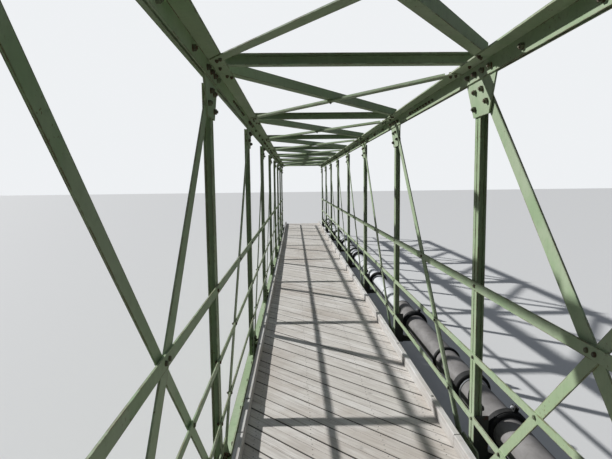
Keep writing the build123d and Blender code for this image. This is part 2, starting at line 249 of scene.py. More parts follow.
def truss_paint():
    """Weathered green paint: faded and grimy patches, run-down streaks, rust specks and chips, with
    bolts darkened by rusty grime and painted shade.
    """
    paint = Finish("truss_paint", Specular_IOR_Level=0.4)
    place = paint.place()
    faded = paint.noise(place, 1.3, 3).step(0.35, 0.68)
    fresh = paint.noise(place, 3.1, 5, 0.6).step(0.50, 0.68)
    streaks = paint.noise(paint.stretch(place, (0.02, 0.02, 0.5)), 1.0, 5).step(0.48, 0.75)
    mottle = paint.noise(place, 26, 5, 0.65)
    colour = paint.mix(faded * 0.7, PAINT, PAINT_FADED)
    colour = paint.mix(fresh * 0.45, colour, PAINT_FRESH)
    colour = paint.mix(streaks * 0.16, colour, PAINT_GRIMY)
    colour = paint.mix(mottle.step(0.50, 0.72) * 0.22, colour, PAINT_GRIMY)
    # Pieces with a high tone (bolts and nuts) are darkened: rusty grime and painted shade
    colour = paint.mix(paint.attribute("tone"), colour, BOLT_GRIME_AND_SHADE)
    specks = paint.noise(place, 60, 3, 0.6).step(0.62, 0.67)
    areas = paint.noise(place, 4.5, 4, 0.6).step(0.50, 0.64)
    blooms = paint.noise(place, 15, 6, 0.7).step(0.69, 0.74)
    chips = paint.edges(EDGE_WEAR) * paint.noise(place, 7, 6, 0.7).step(0.40, 0.56)
    rust = (specks * areas * 0.65).math("MAXIMUM", blooms * 0.9).math("MAXIMUM", chips)
    colour = paint.mix(rust, colour, RUST)
    paint.feed(Base_Color=colour, Roughness=0.48 + mottle * 0.22 + rust * 0.3)
    paint.bump(mottle * 0.25 + rust * 0.8, 0.35, 0.0015)
    return paint.material


def sawn_timber(name, plain, pale, dark, turn, grain_scale):
    """Weathered sawn timber with its grain along one direction, and a tone for each board."""
    timber = Finish(name, Specular_IOR_Level=0.25)
    place = timber.place()
    tone = timber.attribute("tone")
    shift = timber.node("ShaderNodeCombineXYZ", None, {"X": tone * 13.0, "Y": tone * 7.0})
    moved = timber.node("ShaderNodeVectorMath", {"operation": "ADD"}, {0: place, 1: shift})
    bands = timber.noise(timber.stretch(moved, (1.0, 14.0, 1.0), turn), grain_scale * 0.3, 4, 0.6)
    grain = timber.noise(timber.stretch(moved, (1.0, 30.0, 1.0), turn), grain_scale, 5, 0.6)
    fine = timber.noise(timber.stretch(moved, (1.0, 40.0, 1.0), turn), grain_scale * 4, 3, 0.6)
    patches = timber.noise(moved, 2.2, 4, 0.6).step(0.40, 0.68)
    trodden = timber.noise(place, 1.1, 5, 0.62).step(0.46, 0.66)
    stains = timber.noise(place, 5.5, 6, 0.7).step(0.60, 0.74)
    rings = timber.stretch(moved, (1.0, 1.7, 1.0), turn)
    from_knot = timber.node("ShaderNodeTexVoronoi", {"feature": "F1"}, {"Vector": rings, "Scale": 3.1})
    knots = 1 - from_knot.step(0.03, 0.075)
    colour = timber.mix(tone, plain, pale)
    colour = timber.mix(bands.step(0.44, 0.66) * 0.45, colour, dark)
    colour = timber.mix(grain.step(0.44, 0.66) * 0.5, colour, dark)
    colour = timber.mix(fine.step(0.50, 0.70) * 0.5, colour, dark)
    colour = timber.mix(patches * 0.35, colour, pale)
    colour = timber.mix(trodden * 0.38, colour, BOARD_BROWN)
    colour = timber.mix(stains * 0.45, colour, BOARD_STAIN)
    colour = timber.mix(knots * 0.65, colour, BOARD_STAIN)
    colour = timber.mix(timber.attribute("edge") * 0.85, colour, BOARD_EDGE)
    timber.feed(Base_Color=colour, Roughness=0.74 + grain * 0.16)
    timber.bump(grain * 0.6 + fine * 0.4 - knots * 0.3, 0.5, 0.002)
    return timber.material


def dark_steel(name, colour, worn, rust_from, roughness):
    """Painted or coated steel with fine mottling, dust and some rust."""
    steel = Finish(name, Specular_IOR_Level=0.35)
    place = steel.place()
    mottle = steel.noise(place, 18, 6, 0.65)
    rubbed = steel.noise(place, 2.1, 4, 0.6).step(0.38, 0.66)
    rust = steel.noise(place, 9, 6, 0.7).step(rust_from, rust_from + 0.06)
    shade = steel.mix(rubbed * 0.8, colour, worn)
    shade = steel.mix(mottle.step(0.52, 0.74) * 0.35, shade, DIRT)
    shade = steel.mix(rust * 0.8, shade, RUST)
    steel.feed(Base_Color=shade, Roughness=roughness + mottle * 0.15)
    steel.bump(mottle, 0.3, 0.001)
    return steel.material


def pipe_coating():
    """Dull grey coating with dust and stains, and a paler jacket on the newer lengths."""
    coat = Finish("pipe_coating", Specular_IOR_Level=0.4)
    place = coat.place()
    along = coat.node("ShaderNodeSeparateXYZ", None, {"Vector": place}, "Y")
    newer = along.step(NEW_JACKET_FROM - JACKET_JOINT_BLUR, NEW_JACKET_FROM + JACKET_JOINT_BLUR)
    newer = newer.math("MAXIMUM", coat.attribute("tone").step(*BRIGHT_TONES))
    mottle = coat.noise(place, 18, 6, 0.65)
    patches = coat.noise(coat.stretch(place, (1, 2.5, 1)), 6, 5, 0.6).step(0.36, 0.66)
    dull = coat.mix(patches * 0.85, PIPE_GREY, PIPE_PALE)
    dull = coat.mix(mottle.step(0.52, 0.74) * 0.4, dull, DIRT)
    bright = coat.mix(patches * 0.6, JACKET, JACKET_DULL)
    bright = coat.mix(mottle.step(0.56, 0.76) * 0.25, bright, PIPE_GREY)
    coat.feed(Base_Color=coat.mix(newer, dull, bright), Roughness=0.58 + mottle * 0.15 - newer * 0.2)
    coat.bump(mottle, 0.3, 0.001)
    return coat.material


def black_rubber():
    """Dusty black rubber."""
    rubber = Finish("band_rubber", Specular_IOR_Level=0.3)
    mottle = rubber.noise(rubber.place(), 30, 5, 0.6)
    shade = rubber.mix(mottle.step(0.45, 0.75) * 0.6, RUBBER, RUBBER_DUSTY)
    rubber.feed(Base_Color=shade, Roughness=0.62 + mottle * 0.2)
    rubber.bump(mottle, 0.25, 0.001)
    return rubber.material


materials = {
    "truss_paint": truss_paint(),
    "deck_timber": sawn_timber("deck_timber", BOARD, BOARD_PALE, BOARD_DARK, BOARD_TURN, 90.0),
    "kerb_timber": sawn_timber("kerb_timber", KERB, KERB_PALE, BOARD_DARK, 0.0, 100.0),
    "pipe_coating": pipe_coating(),
    "band_rubber": black_rubber(),
    "bracket_steel": dark_steel("bracket_steel", BRACKET, BRACKET_WORN, 0.58, 0.55),
    "bearing_steel": dark_steel("bearing_steel", BEARING, BEARING_WORN, 0.56, 0.6),
}


def dress_frame():
    """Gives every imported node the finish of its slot."""
    for row in frame["record"]["subparts"]:
        mesh = nodes[row["node"]].data
        mesh.materials.clear()
        mesh.materials.append(materials[row["material_slot"]])


PLAIN_TONE = 0.5
SHARP_ANGLE = math.radians(35)


class Shape:
    """Points and faces collected from many small copies, with a tone for each copy."""

    def __init__(self):
        self.points = []
        self.faces = []
        self.tones = []
        self.edges = []

    def add(self, points, faces, tone=PLAIN_TONE, edges=None):
        """Adds one copy; edges tells how dark each of its points is."""
        first = len(self.points)
        self.points.extend(points)
        self.faces.extend([first + index for index in face] for face in faces)
        self.tones.extend([tone] * len(points))
        self.edges.extend(edges or [0.0] * len(points))

    def piece(self, name, slot, smooth=False):
        """Makes the mesh object, gives it its finish and lets it ride on the bridge."""
        mesh = bpy.data.meshes.new(name)
        mesh.from_pydata(self.points, [], self.faces)
        for attribute, values in (("tone", self.tones), ("edge", self.edges)):
            mesh.attributes.new(attribute, "FLOAT", "POINT").data.foreach_set("value", values)
        mesh.materials.append(materials[slot])
        if smooth:
            mesh.shade_smooth()
            mesh.set_sharp_from_angle(angle=SHARP_ANGLE)
        mesh.update()
        made = bpy.data.objects.new(name, mesh)
        bpy.context.scene.collection.objects.link(made)
        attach(made, "root")
        return made


# Boards and kerbs

# Keeps an eased arris from running far in at a sharp corner
MITRE_LIMIT = 0.3


def clipped(outline, axis, limit, keep_below):
    """The part of a convex outline on one side of the line where its axis coordinate is limit."""
    sign = 1 if keep_below else -1
    kept = []
    for here, there in zip(outline, outline[1:] + outline[:1]):
        depth_here = sign * (here[axis] - limit)
        depth_there = sign * (there[axis] - limit)
        if depth_here <= 0:
            kept.append(here)
        if depth_here * depth_there < 0:
            share = depth_here / (depth_here - depth_there)
            kept.append(tuple(a + (b - a) * share for a, b in zip(here, there)))
    return kept


def inset_outline(outline, amount):
    """A convex outline moved inwards by amount on every side."""
    count = len(outline)
    moved = []
    for index in range(count):
        before, here, after = (Vector(outline[(index + k) % count]) for k in (-1, 0, 1))
        first = (here - before).normalized()
        second = (after - here).normalized()
        inwards = Vector((-first.y - second.y, first.x + second.x))
        half_turn = max(MITRE_LIMIT, math.sqrt((1 + first.dot(second)) / 2))
        moved.append(tuple(here + inwards.normalized() * (amount / half_turn)))
    return moved


def add_slab(shape, outline, low, high, arris, tone, wear):
    """An upright slab of a convex outline, counter-clockwise, with its top arris eased.

    Wear tells how dark the arris is at each point of the outline.
    """
    count = len(outline)
    inner = inset_outline(outline, arris)
    rings = [(outline, low), (outline, high - arris), (inner, high)]
    points = [(x, y, z) for ring, z in rings for x, y in ring]
    faces = [list(range(count))[::-1], [2 * count + k for k in range(count)]]
    for base in (0, count):
        for k in range(count):
            after = (k + 1) % count
            faces.append([base + k, base + after, base + count + after, base + count + k])
    shape.add(points, faces, tone, wear + wear + [0.0] * count)


BOARD_WIDTHS = (0.079, 0.088)
WIDE_GAP = (0.009, 0.013)
NARROW_GAP = (0.0005, 0.0015)
# A board's edge is dark at a wide joint and much less so at a closed one
OPEN_WEAR = 1.0
CLOSED_WEAR = 0.3
BOARD_ARRIS = 0.003
BOARD_UNEVEN = 0.003
ACROSS = Vector((1, 1)).normalized()
ALONG = Vector((1, -1)).normalized()


def deck_boards():
    """Diagonal boards over the whole deck, with every second joint wide open."""
    draws = random.Random(7)
    shape = Shape()
    limits = (
        (0, BRIDGE_X - DECK_HALF, False),
        (0, BRIDGE_X + DECK_HALF, True),
        (1, -BRIDGE_END, False),
        (1, BRIDGE_END, True),
    )
    reach = 2 * DECK_HALF
    done = (BRIDGE_X - DECK_HALF - BRIDGE_END) * ACROSS.x
    last = (BRIDGE_X + DECK_HALF + BRIDGE_END) * ACROSS.x
    wide = True
    rows = []
    while done < last:
        start = done + draws.uniform(*(WIDE_GAP if wide else NARROW_GAP))
        done = start + draws.uniform(*BOARD_WIDTHS)
        wide = not wide
        outline = []
        for over, way in ((start, -1), (start, 1), (done, 1), (done, -1)):
            middle = ACROSS * over
            # A board's middle lies on the deck's centreline
            middle += ALONG * (BRIDGE_X - middle.x) / ALONG.x
            outline.append(tuple(middle + ALONG * way * reach))
        for axis, limit, keep_below in limits:
            outline = clipped(outline, axis, limit, keep_below) if len(outline) > 2 else []
        if len(outline) > 2:
            top = DECK_TOP - draws.uniform(0, BOARD_UNEVEN)
            middle_line = (start + done) / 2
            at_far_edge = [Vector(point).dot(ACROSS) > middle_line for point in outline]
            wear = [OPEN_WEAR if far == wide else CLOSED_WEAR for far in at_far_edge]
            add_slab(shape, outline, deck_low.z, top, BOARD_ARRIS, draws.random(), wear)
            rows.append((start, done, top))
    made = shape.piece("deck_boards", "deck_timber")
    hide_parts("deck")
    return rows


KERB_JOINT = 0.004
KERB_JOINT_DRIFT = 0.12
KERB_INSET = 0.003
KERB_UNEVEN = 0.004
KERB_ARRIS = 0.006
KERB_WEAR = 0.2


def kerb_timbers():
    """Kerb lengths of one bay, butted near the verticals."""
    draws = random.Random(11)
    for name in SIDES:
        low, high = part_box(f"kerb_{name}")
        shape = Shape()
        drifted = [s + draws.uniform(-KERB_JOINT_DRIFT, KERB_JOINT_DRIFT) for s in STATIONS[1:-1]]
        joints = [low.y] + drifted + [high.y]
        for start, end in zip(joints, joints[1:]):
            near, far = start + KERB_JOINT / 2, end - KERB_JOINT / 2
            inset = draws.uniform(0, KERB_INSET)
            inner, outer = low.x + inset, high.x - inset
            outline = [(inner, near), (outer, near), (outer, far), (inner, far)]
            top = high.z - draws.uniform(0, KERB_UNEVEN)
            add_slab(shape, outline, low.z, top, KERB_ARRIS, draws.random(), [KERB_WEAR] * len(outline))
        made = shape.piece(f"kerb_timbers_{name}", "kerb_timber")
        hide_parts(f"kerb_{name}")


# Bolts, nuts and nails


def turned(points, place, way, spin):
    """Points of a small part that stands on +Z, moved to place with its +Z along way."""
    turn = Vector(way).to_track_quat("Z", "Y").to_matrix() @ Matrix.Rotation(spin, 3, "Z")
    return [tuple(turn @ Vector(point) + Vector(place)) for point in points]


def stacked(sides, *rings):
    """Points and faces of one turned or hexagon form; each ring is (radius, height)."""
    points, faces = [], []
    for radius, height in rings:
        for k in range(sides):
            angle = 2 * math.pi * k / sides
            points.append((radius * math.cos(angle), radius * math.sin(angle), height))
    for start in range(0, sides * (len(rings) - 1), sides):
        for k in range(sides):
            after = (k + 1) % sides
            faces.append([start + k, start + after, start + sides + after, start + sides + k])
    faces.append([len(points) - sides + k for k in range(sides)])
    return points, faces


def joined(*parts):
    """Several (points, faces) pairs as one."""
    points, faces = [], []
    for part_points, part_faces in parts:
        first = len(points)
        points.extend(part_points)
        faces.extend([first + index for index in face] for face in part_faces)
    return points, faces


HEXAGON = 6
WASHER_SIDES = 10
SHANK_SIDES = 8
# Radii as shares of a nut's width across its flats
WASHER_SHARE = 0.6
SHANK_SHARE = 0.31
# The top of a head or nut is chamfered over this share of its radius and height
CHAMFER_RADIUS = 0.88
CHAMFER_HEIGHT = 0.15


def fastener(across_flats, height, washer, stub=0.0):
    """A hexagon head or nut on a washer, with the bolt's end standing out of a nut."""
    corner = across_flats / math.sqrt(3)
    top = washer + height
    shoulder = top - height * CHAMFER_HEIGHT
    rim = across_flats * WASHER_SHARE
    shank = across_flats * SHANK_SHARE
    parts = [
        stacked(WASHER_SIDES, (rim, 0), (rim, washer)),
        stacked(HEXAGON, (corner, washer), (corner, shoulder), (corner * CHAMFER_RADIUS, top)),
    ]
    if stub:
        parts.append(stacked(SHANK_SIDES, (shank, top), (shank, top + stub)))
    return joined(*parts)


GUSSET_NUT = fastener(0.030, 0.016, 0.003, 0.007)
GUSSET_HEAD = fastener(0.030, 0.0125, 0.003)
SMALL_NUT = fastener(0.019, 0.010, 0.002, 0.005)
SMALL_HEAD = fastener(0.019, 0.0075, 0.002)
COACH_HEAD = stacked(12, (0.016, 0), (0.0155, 0.0025), (0.010, 0.006), (0.004, 0.0072))
NAIL = stacked(7, (0.0042, -0.002), (0.0042, 0.0004))
BOLT_TONES = (0.65, 1.0)


class Bolts(Shape):
    """Bolts that join plates: each has a head on one face and a nut on the other."""

    def __init__(self, seed, tone_range=BOLT_TONES):
        super().__init__()
        self.draws = random.Random(seed)
        self.tone_range = tone_range

    def one(self, kind, place, way):
        """One head, nut or nail that stands on place and points along way."""
        points, faces = kind
        spin = self.draws.uniform(0, math.pi / 3)
        self.add(turned(points, place, way, spin), faces, self.draws.uniform(*self.tone_range))

    def through(self, nut_place, head_place, small=False):
        """A bolt whose nut sits at nut_place and whose head sits at head_place."""
        nut_place, head_place = Vector(nut_place), Vector(head_place)
        way = (nut_place - head_place).normalized()
        self.one(SMALL_NUT if small else GUSSET_NUT, nut_place, way)
        self.one(SMALL_HEAD if small else GUSSET_HEAD, head_place, -way)


# Thicknesses of the steel
CHORD_THICKNESS = 0.010
CHANNEL_THICKNESS = 0.007
BAR_THICKNESS = 0.008
ROOF_ANGLE_THICKNESS = 0.007
STRUT_THICKNESS = 0.006
FLOOR_ANGLE_THICKNESS = 0.006
# Faces of the gussets and the chords, as offsets from the walkway's middle
GUSSET_IN = GUSSET_FACE - GUSSET_THICKNESS
GUSSET_MIDDLE = GUSSET_FACE - GUSSET_THICKNESS / 2
CHORD_IN = GUSSET_IN - CHORD_THICKNESS
CHORD_OUT = GUSSET_FACE + CHORD_THICKNESS
# The lines that the truss's bars run along
WORKING_DEPTH = 0.07
WORKING_TOP = CHORD_TOP - WORKING_DEPTH
WORKING_BOTTOM = CHORD_BOTTOM + WORKING_DEPTH
SLOPE = math.atan2(WORKING_TOP - WORKING_BOTTOM, BAY)
# Bolt places: along the chord from a station, down or up a vertical and along a diagonal
POST_BOLT = 0.024
CHORD_BOLT_DEPTH = 0.060
CHORD_BOLTS = (-0.125, -0.005, 0.115, 0.235)
CHORD_END_EDGE = 0.03
TOP_POST_BOLTS = (0.169, 0.274)
BOTTOM_POST_BOLTS = (0.150, 0.235, 0.320)
TOP_BAR_BOLTS = (0.127, 0.243)
BOTTOM_BAR_BOLTS = (0.150, 0.232)


def x_at(side, offset):
    """Where an offset from the walkway's middle lies on the left (-1) or right (1) side."""
    return BRIDGE_X + side * offset


def diagonals():
    """Each diagonal of one truss as (low station, high station, whether it crosses another)."""
    for number in range(BAYS):
        near, far = STATIONS[number], STATIONS[number + 1]
        if number <= CENTRE:
            yield far, near, number == CENTRE
        if number >= CENTRE:
            yield near, far, number == CENTRE


def bar_back(side, low, high, crossed):
    """Offset of a diagonal's outer face; where two cross, one is packed off its gussets."""
    packed = crossed and (high > low) == (side > 0)
    return GUSSET_FACE + BAR_THICKNESS * (2 if packed else 1)


def gusset_bolts():
    """Bolts of the gussets: through the chord's legs, the verticals and the diagonals."""
    for name, side in SIDES.items():
        bolts = Bolts(name)
        inner, flange = x_at(side, GUSSET_IN), x_at(side, GUSSET_FACE + CHANNEL_THICKNESS)
        chord_inner, chord_outer = x_at(side, CHORD_IN), x_at(side, CHORD_OUT)
        for station in STATIONS:
            inwards = -1 if station > 0 else 1
            at_end = abs(station) == HALF_SPAN
            rows = (
                (inwards, CHORD_TOP - CHORD_BOLT_DEPTH),
                (-inwards, CHORD_BOTTOM + CHORD_BOLT_DEPTH),
            )
            for shift in CHORD_BOLTS[1:] if at_end else CHORD_BOLTS:
                for way, z in rows:
                    y = station + way * shift
                    if abs(y) < BRIDGE_END - CHORD_END_EDGE:
                        bolts.through((chord_inner, y, z), (chord_outer, y, z))
            for depth in TOP_POST_BOLTS:
                y, z = station - inwards * POST_BOLT, CHORD_TOP - depth
                bolts.through((inner, y, z), (flange, y, z))
            for depth in BOTTOM_POST_BOLTS:
                for y in (station - POST_BOLT, station + POST_BOLT):
                    bolts.through((inner, y, CHORD_BOTTOM + depth), (flange, y, CHORD_BOTTOM + depth))
        for low, high, crossed in diagonals():
            way = 1 if high > low else -1
            back = x_at(side, bar_back(side, low, high, crossed))
            run, rise = way * math.cos(SLOPE), math.sin(SLOPE)
            for reach in BOTTOM_BAR_BOLTS:
                y, z = low + run * reach, WORKING_BOTTOM + rise * reach
                bolts.through((inner, y, z), (back, y, z))
            for reach in TOP_BAR_BOLTS:
                y, z = high - run * reach, WORKING_TOP - rise * reach
                bolts.through((inner, y, z), (back, y, z))
        bolts.piece(f"gusset_bolts_{name}", "truss_paint")


# Bolts that hold the two angles of a chord together, as distances past a station
STITCHES = [share * BAY for share in (0.25, 0.5, 0.75)]
# In every third bay the top chord's angles are spliced by a close row of small bolts instead
SPLICE_EVERY = 3
SPLICE_START = 0.93
SPLICE_PITCH = 0.095
SPLICE_COUNT = 9
SPLICES = [SPLICE_START + SPLICE_PITCH * number for number in range(SPLICE_COUNT)]


def chord_stitches(bolts, side):
    """Bolts of one truss's chords between their gussets."""
    inner, outer = x_at(side, CHORD_IN), x_at(side, CHORD_OUT)
    for number, station in enumerate(STATIONS[:-1]):
        spliced = (number - CENTRE - 1) % SPLICE_EVERY == 0
        rows = (
            (CHORD_BOTTOM + CHORD_BOLT_DEPTH, STITCHES, False),
            (CHORD_TOP - CHORD_BOLT_DEPTH, SPLICES if spliced else STITCHES, spliced),
        )
        for z, places, small in rows:
            for past in places:
                y = station + past
                bolts.through((inner, y, z), (outer, y, z), small=small)


def rail_bolts():
    """Bolts of the rails and of the chords between their gussets."""
    for name, side in SIDES.items():
        bolts = Bolts(name + "rails")
        front = x_at(side, FACE - RAIL_THICKNESS)
        flange = x_at(side, FACE + CHANNEL_THICKNESS)
        for rail in ("handrail", "middle_rail", "lower_rail"):
            low_corner, high_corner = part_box(f"{rail}_{name}")
            z = (low_corner.z + high_corner.z) / 2
            for station in STATIONS:
                y = station - POST_BOLT
                bolts.through((flange, y, z), (front, y, z), small=True)
            for low, high, crossed in diagonals():
                way = 1 if high > low else -1
                y = low + way * (z - WORKING_BOTTOM) / math.tan(SLOPE)
                back = x_at(side, bar_back(side, low, high, crossed))
                bolts.through((back, y, z), (front, y, z), small=True)
        chord_stitches(bolts, side)
        bolts.piece(f"rail_bolts_{name}", "truss_paint")


# Bracing angles start this far off the middle and this far past a station
LATERAL_OFFSET = 0.775
ROOF_START = 0.2
FLOOR_START = 0.26
LATERAL_BOLTS = (0.020, 0.062)


def lateral_bolts(bolts, start_past, nut_z, head_z, from_side):
    """Bolts at both ends of one set of bracing angles, which start on from_side."""
    along = Vector((-from_side * 2 * LATERAL_OFFSET, BAY - 2 * start_past)).normalized()
    for station in STATIONS[:-1]:
        start = Vector((x_at(from_side, LATERAL_OFFSET), station + start_past))
        end = Vector((x_at(-from_side, LATERAL_OFFSET), station + BAY - start_past))
        for reach in LATERAL_BOLTS:
            for point in (start + along * reach, end - along * reach):
                bolts.through((*point, nut_z), (*point, head_z), small=True)


def bracing_bolts():
    """Bolts of the roof's struts and bracing and of the bracing under the floor."""
    bolts = Bolts("bracing")
    leg_middle = GUSSET_MIDDLE + GUSSET_THICKNESS / 2 + CHORD_LEG / 2
    roof_low, roof_high = CHORD_TOP - CHORD_THICKNESS, CHORD_TOP
    strut_top = roof_high + STRUT_THICKNESS
    floor_low, floor_high = CHORD_BOTTOM, CHORD_BOTTOM + CHORD_THICKNESS
    for station in STATIONS:
        for side in SIDES.values():
            for offset in (2 * GUSSET_MIDDLE - leg_middle, leg_middle):
                x = x_at(side, offset)
                bolts.through((x, station, roof_low), (x, station, strut_top), small=True)
    lateral_bolts(bolts, ROOF_START, roof_low, roof_high + ROOF_ANGLE_THICKNESS, -1)
    lateral_bolts(bolts, ROOF_START, roof_low - ROOF_ANGLE_THICKNESS, roof_high, 1)
    lateral_bolts(bolts, FLOOR_START, floor_low, floor_high + FLOOR_ANGLE_THICKNESS, -1)
    lateral_bolts(bolts, FLOOR_START, floor_low - FLOOR_ANGLE_THICKNESS, floor_high, 1)
    crossings = (
        (roof_low - ROOF_ANGLE_THICKNESS, roof_high + ROOF_ANGLE_THICKNESS),
        (floor_low - FLOOR_ANGLE_THICKNESS, floor_high + FLOOR_ANGLE_THICKNESS),
    )
    for station in STATIONS[:-1]:
        y = station + BAY / 2
        for nut_z, head_z in crossings:
            bolts.through((BRIDGE_X, y, nut_z), (BRIDGE_X, y, head_z), small=True)
    bolts.piece("bracing_bolts", "truss_paint")


# Bolts of a floor beam's end plate, from its middle, and of a stringer on a beam's flange
END_PLATE_THICKNESS = 0.010
BEAM_BOLT_ASIDE = 0.022
BEAM_BOLT_UP = 0.030
STRINGER_OFFSETS = (0.24, 0.62)
STRINGER_BOLT_OFF = 0.004
STRINGER_BOLT_PAST = 0.018
STRINGER_THICKNESS = 0.006
BEAM_FLANGE = 0.0065
SOLE_BOLT_ASIDE = 0.060
SOLE_BOLT_ALONG = 0.090


def floor_bolts():
    """Bolts of floor beams, stringers and sole plates."""
    bolts = Bolts("floor")
    beams_low, beams_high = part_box("floor_beams")
    stringers_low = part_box("stringers")[0]
    beam_middle = (beams_low.z + beams_high.z) / 2
    under_flange = beams_high.z - BEAM_FLANGE
    on_stringer = stringers_low.z + STRINGER_THICKNESS
    on_chord = CHORD_BOTTOM + CHORD_THICKNESS
    for station in STATIONS:
        for side in SIDES.values():
            plate_x = x_at(side, GUSSET_IN - END_PLATE_THICKNESS)
            for y in (station - BEAM_BOLT_ASIDE, station + BEAM_BOLT_ASIDE):
                for z in (beam_middle - BEAM_BOLT_UP, beam_middle + BEAM_BOLT_UP):
                    bolts.one(GUSSET_NUT, (plate_x, y, z), (-side, 0, 0))
            for offset in STRINGER_OFFSETS:
                x, y = x_at(side, offset) + STRINGER_BOLT_OFF, station + STRINGER_BOLT_PAST
                bolts.through((x, y, under_flange), (x, y, on_stringer), small=True)
    for end in (-HALF_SPAN, HALF_SPAN):
        for side in SIDES.values():
            for offset in (GUSSET_MIDDLE - SOLE_BOLT_ASIDE, GUSSET_MIDDLE + SOLE_BOLT_ASIDE):
                for y in (end - SOLE_BOLT_ALONG, end + SOLE_BOLT_ALONG):
                    bolts.one(GUSSET_HEAD, (x_at(side, offset), y, on_chord), (0, 0, 1))
    bolts.piece("floor_bolts", "truss_paint")


KERB_BOLT_SPACING = 1.25
KERB_BOLT_DRIFT = 0.04
KERB_BOLT_SUNK = 0.005


def kerb_bolts():
    """Round coach-bolt heads on the kerbs."""
    bolts = Bolts("kerbs")
    count = round(2 * BRIDGE_END / KERB_BOLT_SPACING)
    for name in SIDES:
        low_corner, high_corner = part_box(f"kerb_{name}")
        x = (low_corner.x + high_corner.x) / 2
        for number in range(count):
            drift = bolts.draws.uniform(-KERB_BOLT_DRIFT, KERB_BOLT_DRIFT)
            y = low_corner.y + (number + 0.5) * KERB_BOLT_SPACING + drift
            bolts.one(COACH_HEAD, (x, y, high_corner.z - KERB_BOLT_SUNK), (0, 0, 1))
    bolts.piece("kerb_bolts", "bracket_steel")


NAIL_INSET = 0.022
NAIL_DRIFT = 0.006
NAIL_END_EDGE = 0.01


def deck_nails(rows):
    """Nail heads over the stringers; rows are the boards as (start, end, top) across their length."""
    nails = Bolts("nails")
    for start, end, top in rows:
        for over in (start + NAIL_INSET, end - NAIL_INSET):
            for offset in STRINGER_OFFSETS:
                for side in SIDES.values():
                    x = x_at(side, offset) + nails.draws.uniform(-NAIL_DRIFT, NAIL_DRIFT)
                    y = over / ACROSS.y - x
                    if abs(y) < BRIDGE_END - NAIL_END_EDGE:
                        nails.one(NAIL, (x, y, top), (0, 0, 1))
    nails.piece("deck_nails", "bracket_steel")


# Fittings of the pipe

bands_low, bands_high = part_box("pipe_bands")
collars_low, collars_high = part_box("pipe_couplings")
BAND_RADIUS = (bands_high.x - bands_low.x) / 2
COLLAR_RADIUS = (collars_high.x - collars_low.x) / 2
RING_SIDES = 64
# Rings reach this far into what they sit on
SEAT = 0.001


def ring_profile(half_length, inner, outer, bevel):
    """A flat ring's profile with its outer edges cut off, as (distance along the pipe, radius)."""
    return [
        (-half_length, inner),
        (-half_length, outer - bevel),
        (-half_length + bevel, outer),
        (half_length - bevel, outer),
        (half_length, outer - bevel),
        (half_length, inner),
    ]


def add_ring(shape, middle, profile, tone=PLAIN_TONE):
    """A ring round the pipe, from its profile."""
    count = len(profile)
    points, faces = [], []
    for step in range(RING_SIDES):
        angle = 2 * math.pi * step / RING_SIDES
        across, up = math.cos(angle), math.sin(angle)
        for along, radius in profile:
            points.append((PIPE_X + radius * across, middle + along, PIPE_Z + radius * up))
        here, there = step * count, (step + 1) % RING_SIDES * count
        for k in range(count):
            after = (k + 1) % count
            faces.append([here + k, there + k, there + after, here + after])
    shape.add(points, faces, tone)


def add_plate(shape, place, size, turn):
    """A small plate with its centre at place, turned by a matrix."""
    corners = [(x, y, z) for x in (-0.5, 0.5) for y in (-0.5, 0.5) for z in (-0.5, 0.5)]
    sized = [Vector([c * s for c, s in zip(corner, size)]) for corner in corners]
    points = [tuple(place + turn @ point) for point in sized]
    faces = [[0, 1, 3, 2], [4, 6, 7, 5], [0, 4, 5, 1], [2, 3, 7, 6], [0, 2, 6, 4], [1, 5, 7, 3]]
    shape.add(points, faces)


BAND_HALF = 0.043
BAND_BEVEL = 0.009
STRAP_HALF = 0.026
STRAP_BEVEL = 0.001
STRAP_THICKNESS = 0.006
STRAP_SUNK = 0.002
# Keeps the strap's round just inside the box of the solids
STRAP_CLEAR = 0.0005
# Two ears stand up from the strap, and a bolt draws them together
EAR_ANGLE = math.radians(72)
EAR_HEIGHT = 0.034
EAR_SUNK = 0.003
EAR_GAP = 0.016
EAR_THICKNESS = 0.006
EAR_BOLT_SHARE = 0.55
EAR_SHANK = 0.010


def pipe_bands():
    """Rubber bands at the verticals, each under a dark strap whose ears a pale bolt joins; the bolt's
    pale colour is galvanised steel and a painted glint.
    """
    rubber, straps = Shape(), Shape()
    # The strap bolts take the jacket's pale colour: galvanised steel, with a painted glint
    bolts = Bolts("straps", (BRIGHT_TONE, BRIGHT_TONE))
    rubber_outer = BAND_RADIUS - STRAP_THICKNESS
    band = ring_profile(BAND_HALF, PIPE_RADIUS - SEAT, rubber_outer, BAND_BEVEL)
    strap = ring_profile(STRAP_HALF, rubber_outer - STRAP_SUNK, BAND_RADIUS - STRAP_CLEAR, STRAP_BEVEL)
    rim = Vector((math.cos(EAR_ANGLE), 0, math.sin(EAR_ANGLE)))
    sideways = Vector((-math.sin(EAR_ANGLE), 0, math.cos(EAR_ANGLE)))
    turn = Matrix((sideways, (0, 1, 0), rim)).transposed()
    half = EAR_GAP / 2 + EAR_THICKNESS
    for station in STATIONS:
        add_ring(rubber, station, band)
        add_ring(straps, station, strap)
        foot = Vector((PIPE_X, station, PIPE_Z)) + rim * BAND_RADIUS
        for way in (-1, 1):
            aside = sideways * way * (EAR_GAP + EAR_THICKNESS) / 2
            middle = foot + rim * (EAR_HEIGHT / 2 - EAR_SUNK) + aside
            add_plate(straps, middle, (EAR_THICKNESS, 2 * STRAP_HALF, EAR_HEIGHT), turn)
        outer = foot + rim * (EAR_HEIGHT * EAR_BOLT_SHARE)
        bolts.through(outer + sideways * half, outer - sideways * half, small=True)
        add_plate(straps, outer, (2 * half, EAR_SHANK, EAR_SHANK), turn)
    made = rubber.piece("band_rubbers", "band_rubber", smooth=True)
    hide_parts("pipe_bands")
    straps.piece("band_straps", "band_rubber")
    bolts.piece("band_bolts", "pipe_coating")


COUPLING_SPACING = 3 * BAY
